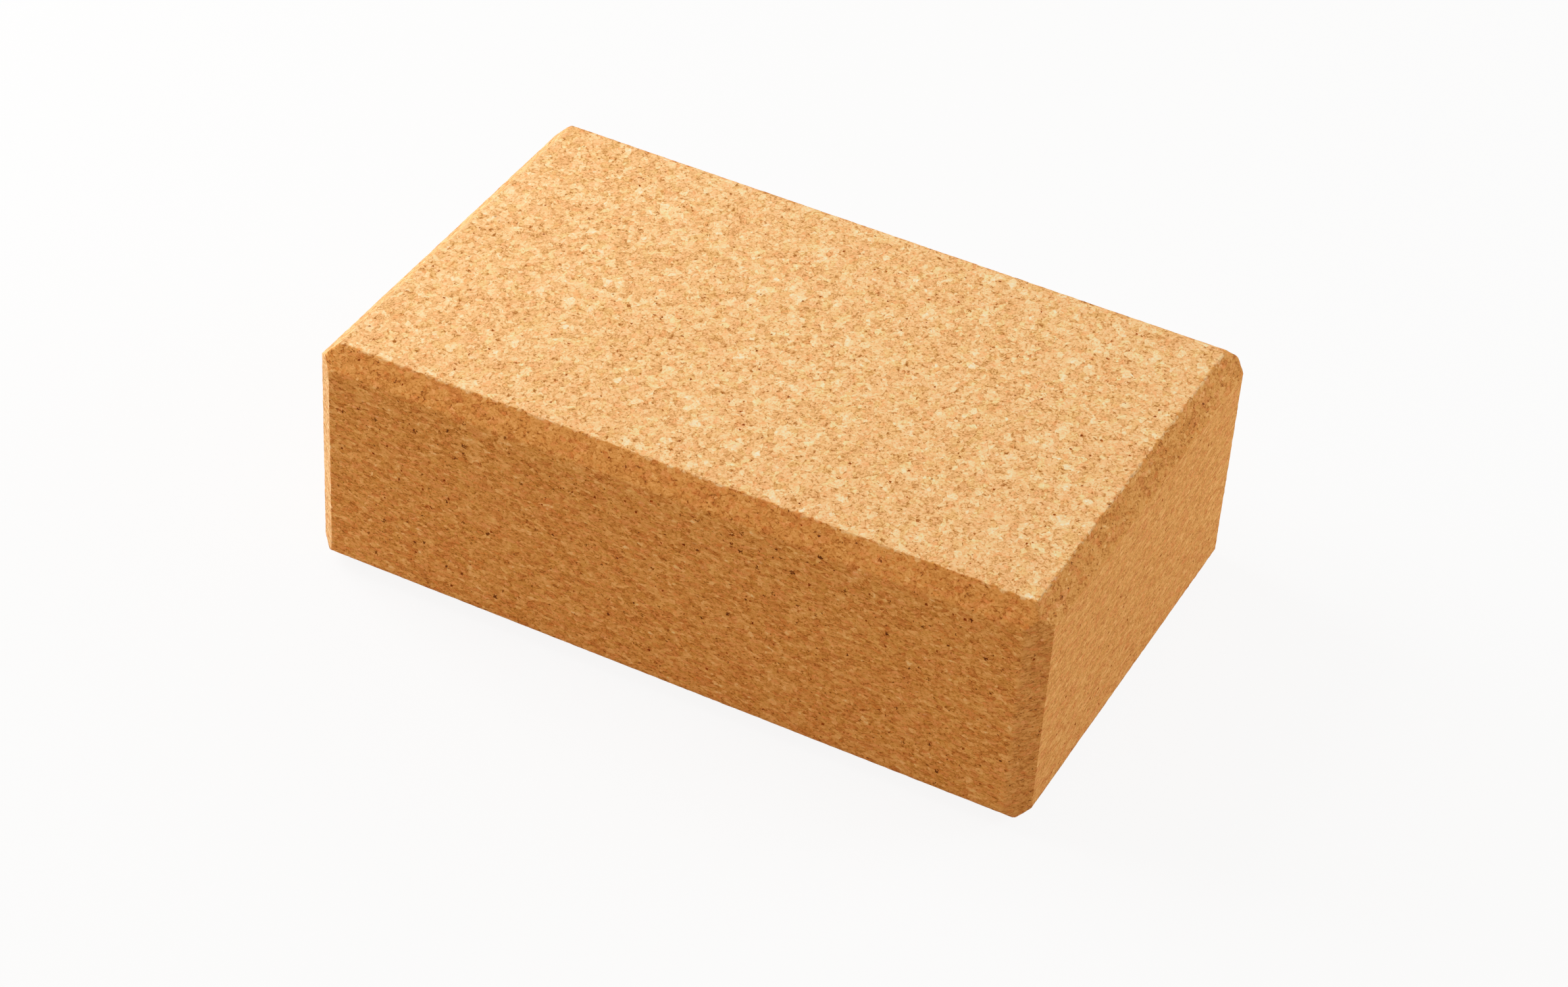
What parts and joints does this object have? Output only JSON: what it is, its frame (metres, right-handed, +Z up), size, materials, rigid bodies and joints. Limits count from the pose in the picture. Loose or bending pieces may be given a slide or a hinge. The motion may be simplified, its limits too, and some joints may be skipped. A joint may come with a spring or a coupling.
{
  "type": "yoga block",
  "caption": "Rectangular yoga block of pressed cork granules, bevelled along every edge, that props a hand, foot, hip or back at any of three heights.",
  "frame": {"origin": "middle of the base face", "axes": "+X along the long side, +Y across the width, +Z up through the thickness, the way the cork was pressed"},
  "size_m": [0.224, 0.14, 0.076],
  "materials": {
    "cork": "pressed cork granules, sanded, bare and matt"
  },
  "bodies": {
    "root": {"cork_block": "cork"}
  },
  "joints": []
}
